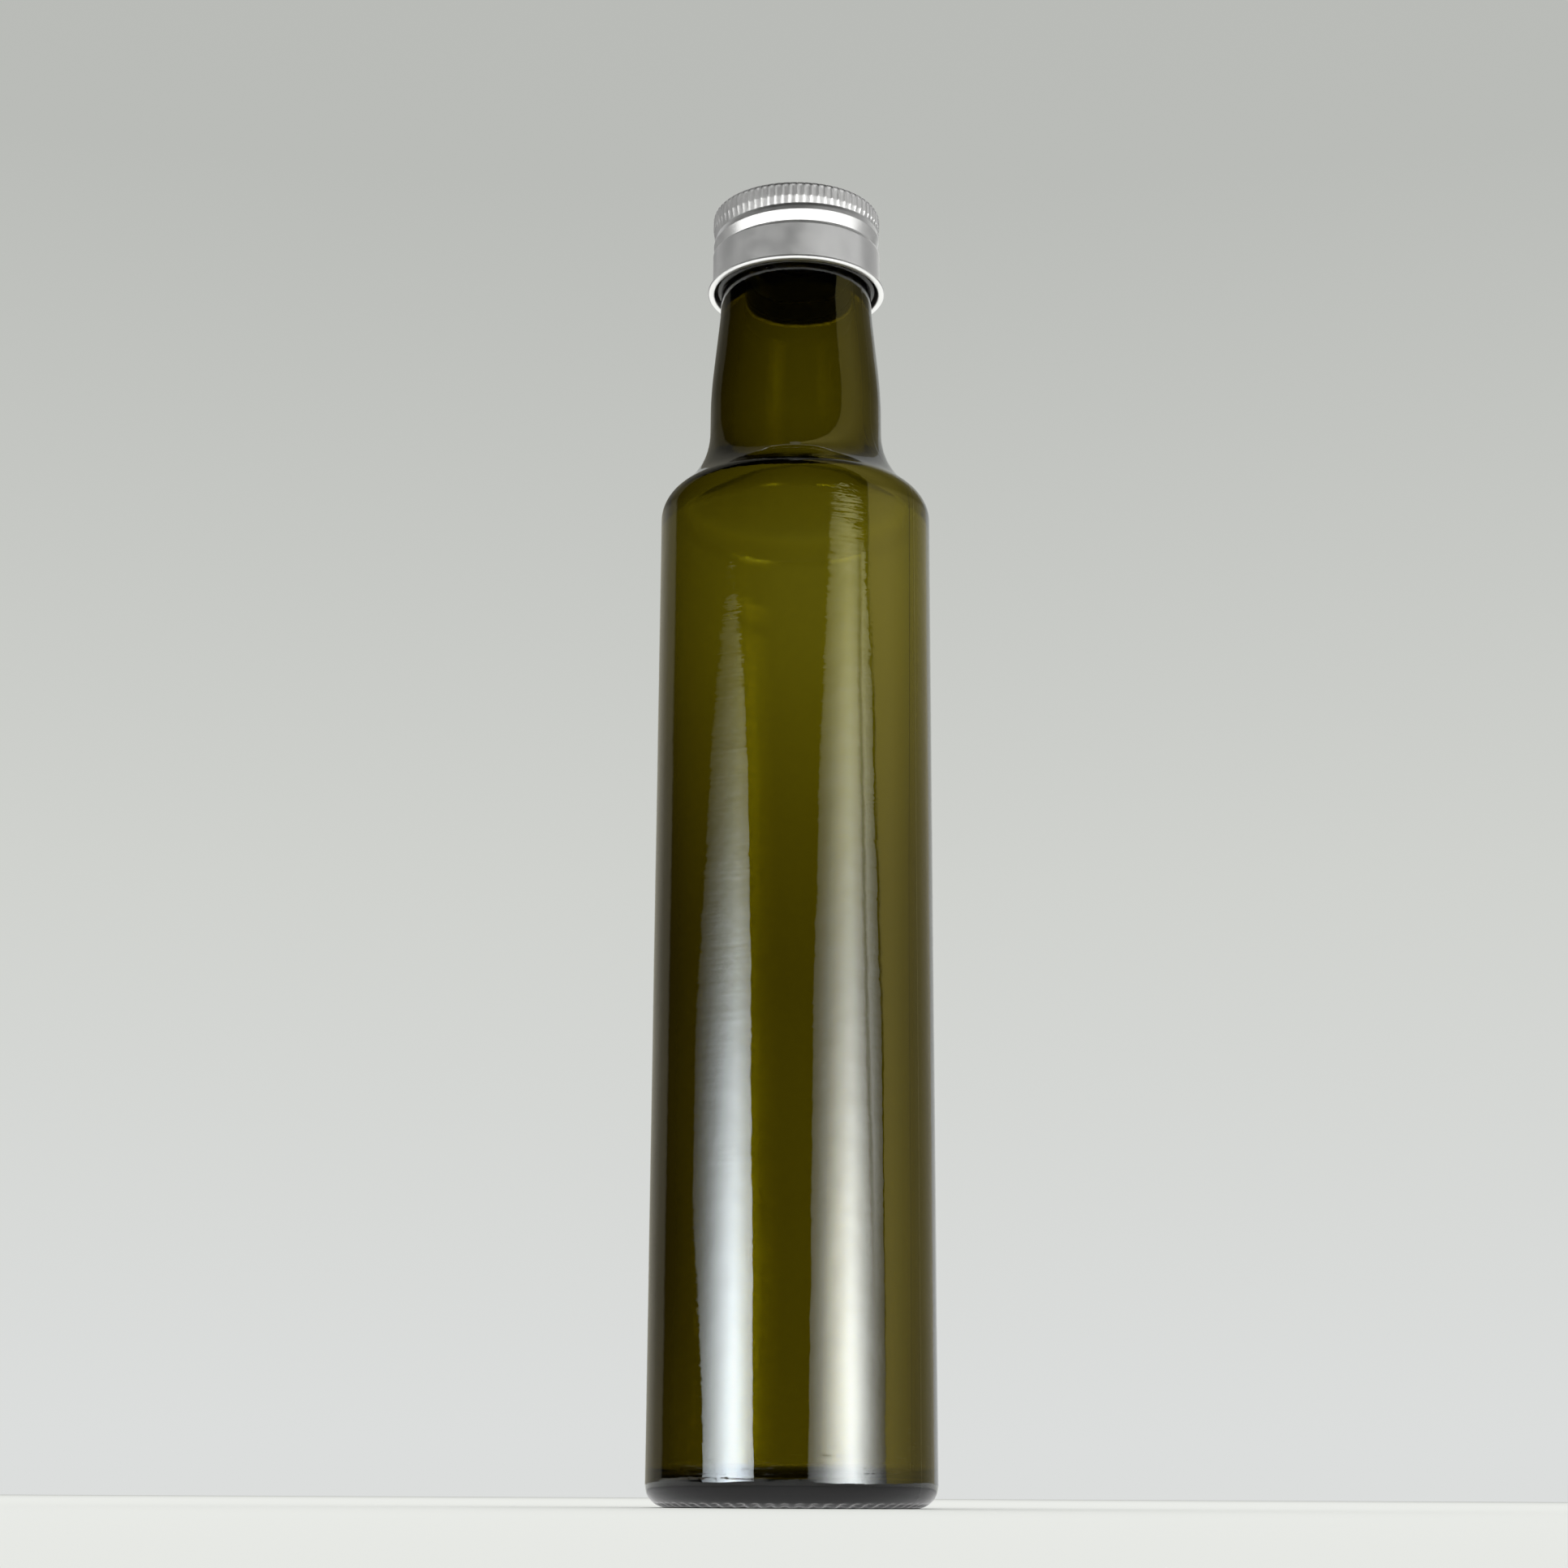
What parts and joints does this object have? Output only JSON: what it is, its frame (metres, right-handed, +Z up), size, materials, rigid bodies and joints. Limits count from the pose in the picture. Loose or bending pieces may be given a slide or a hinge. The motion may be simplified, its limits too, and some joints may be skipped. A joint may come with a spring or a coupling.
{
  "type": "round glass oil bottle with a screw cap",
  "caption": "Slim round glass bottle for oil with a sloped shoulder, a long neck and a plain aluminium screw cap.",
  "frame": {"origin": "centre of the base, on the surface that the bottle stands on", "axes": "+Z up along the bottle's axis to its cap, -Y towards the viewer of the picture, +X to the viewer's right"},
  "size_m": [0.0496, 0.0496, 0.2382],
  "materials": {
    "glass": "gloss",
    "cap": "satin"
  },
  "bodies": {
    "root": {"glass_bottle": "glass", "screw_cap": "cap"}
  },
  "joints": []
}
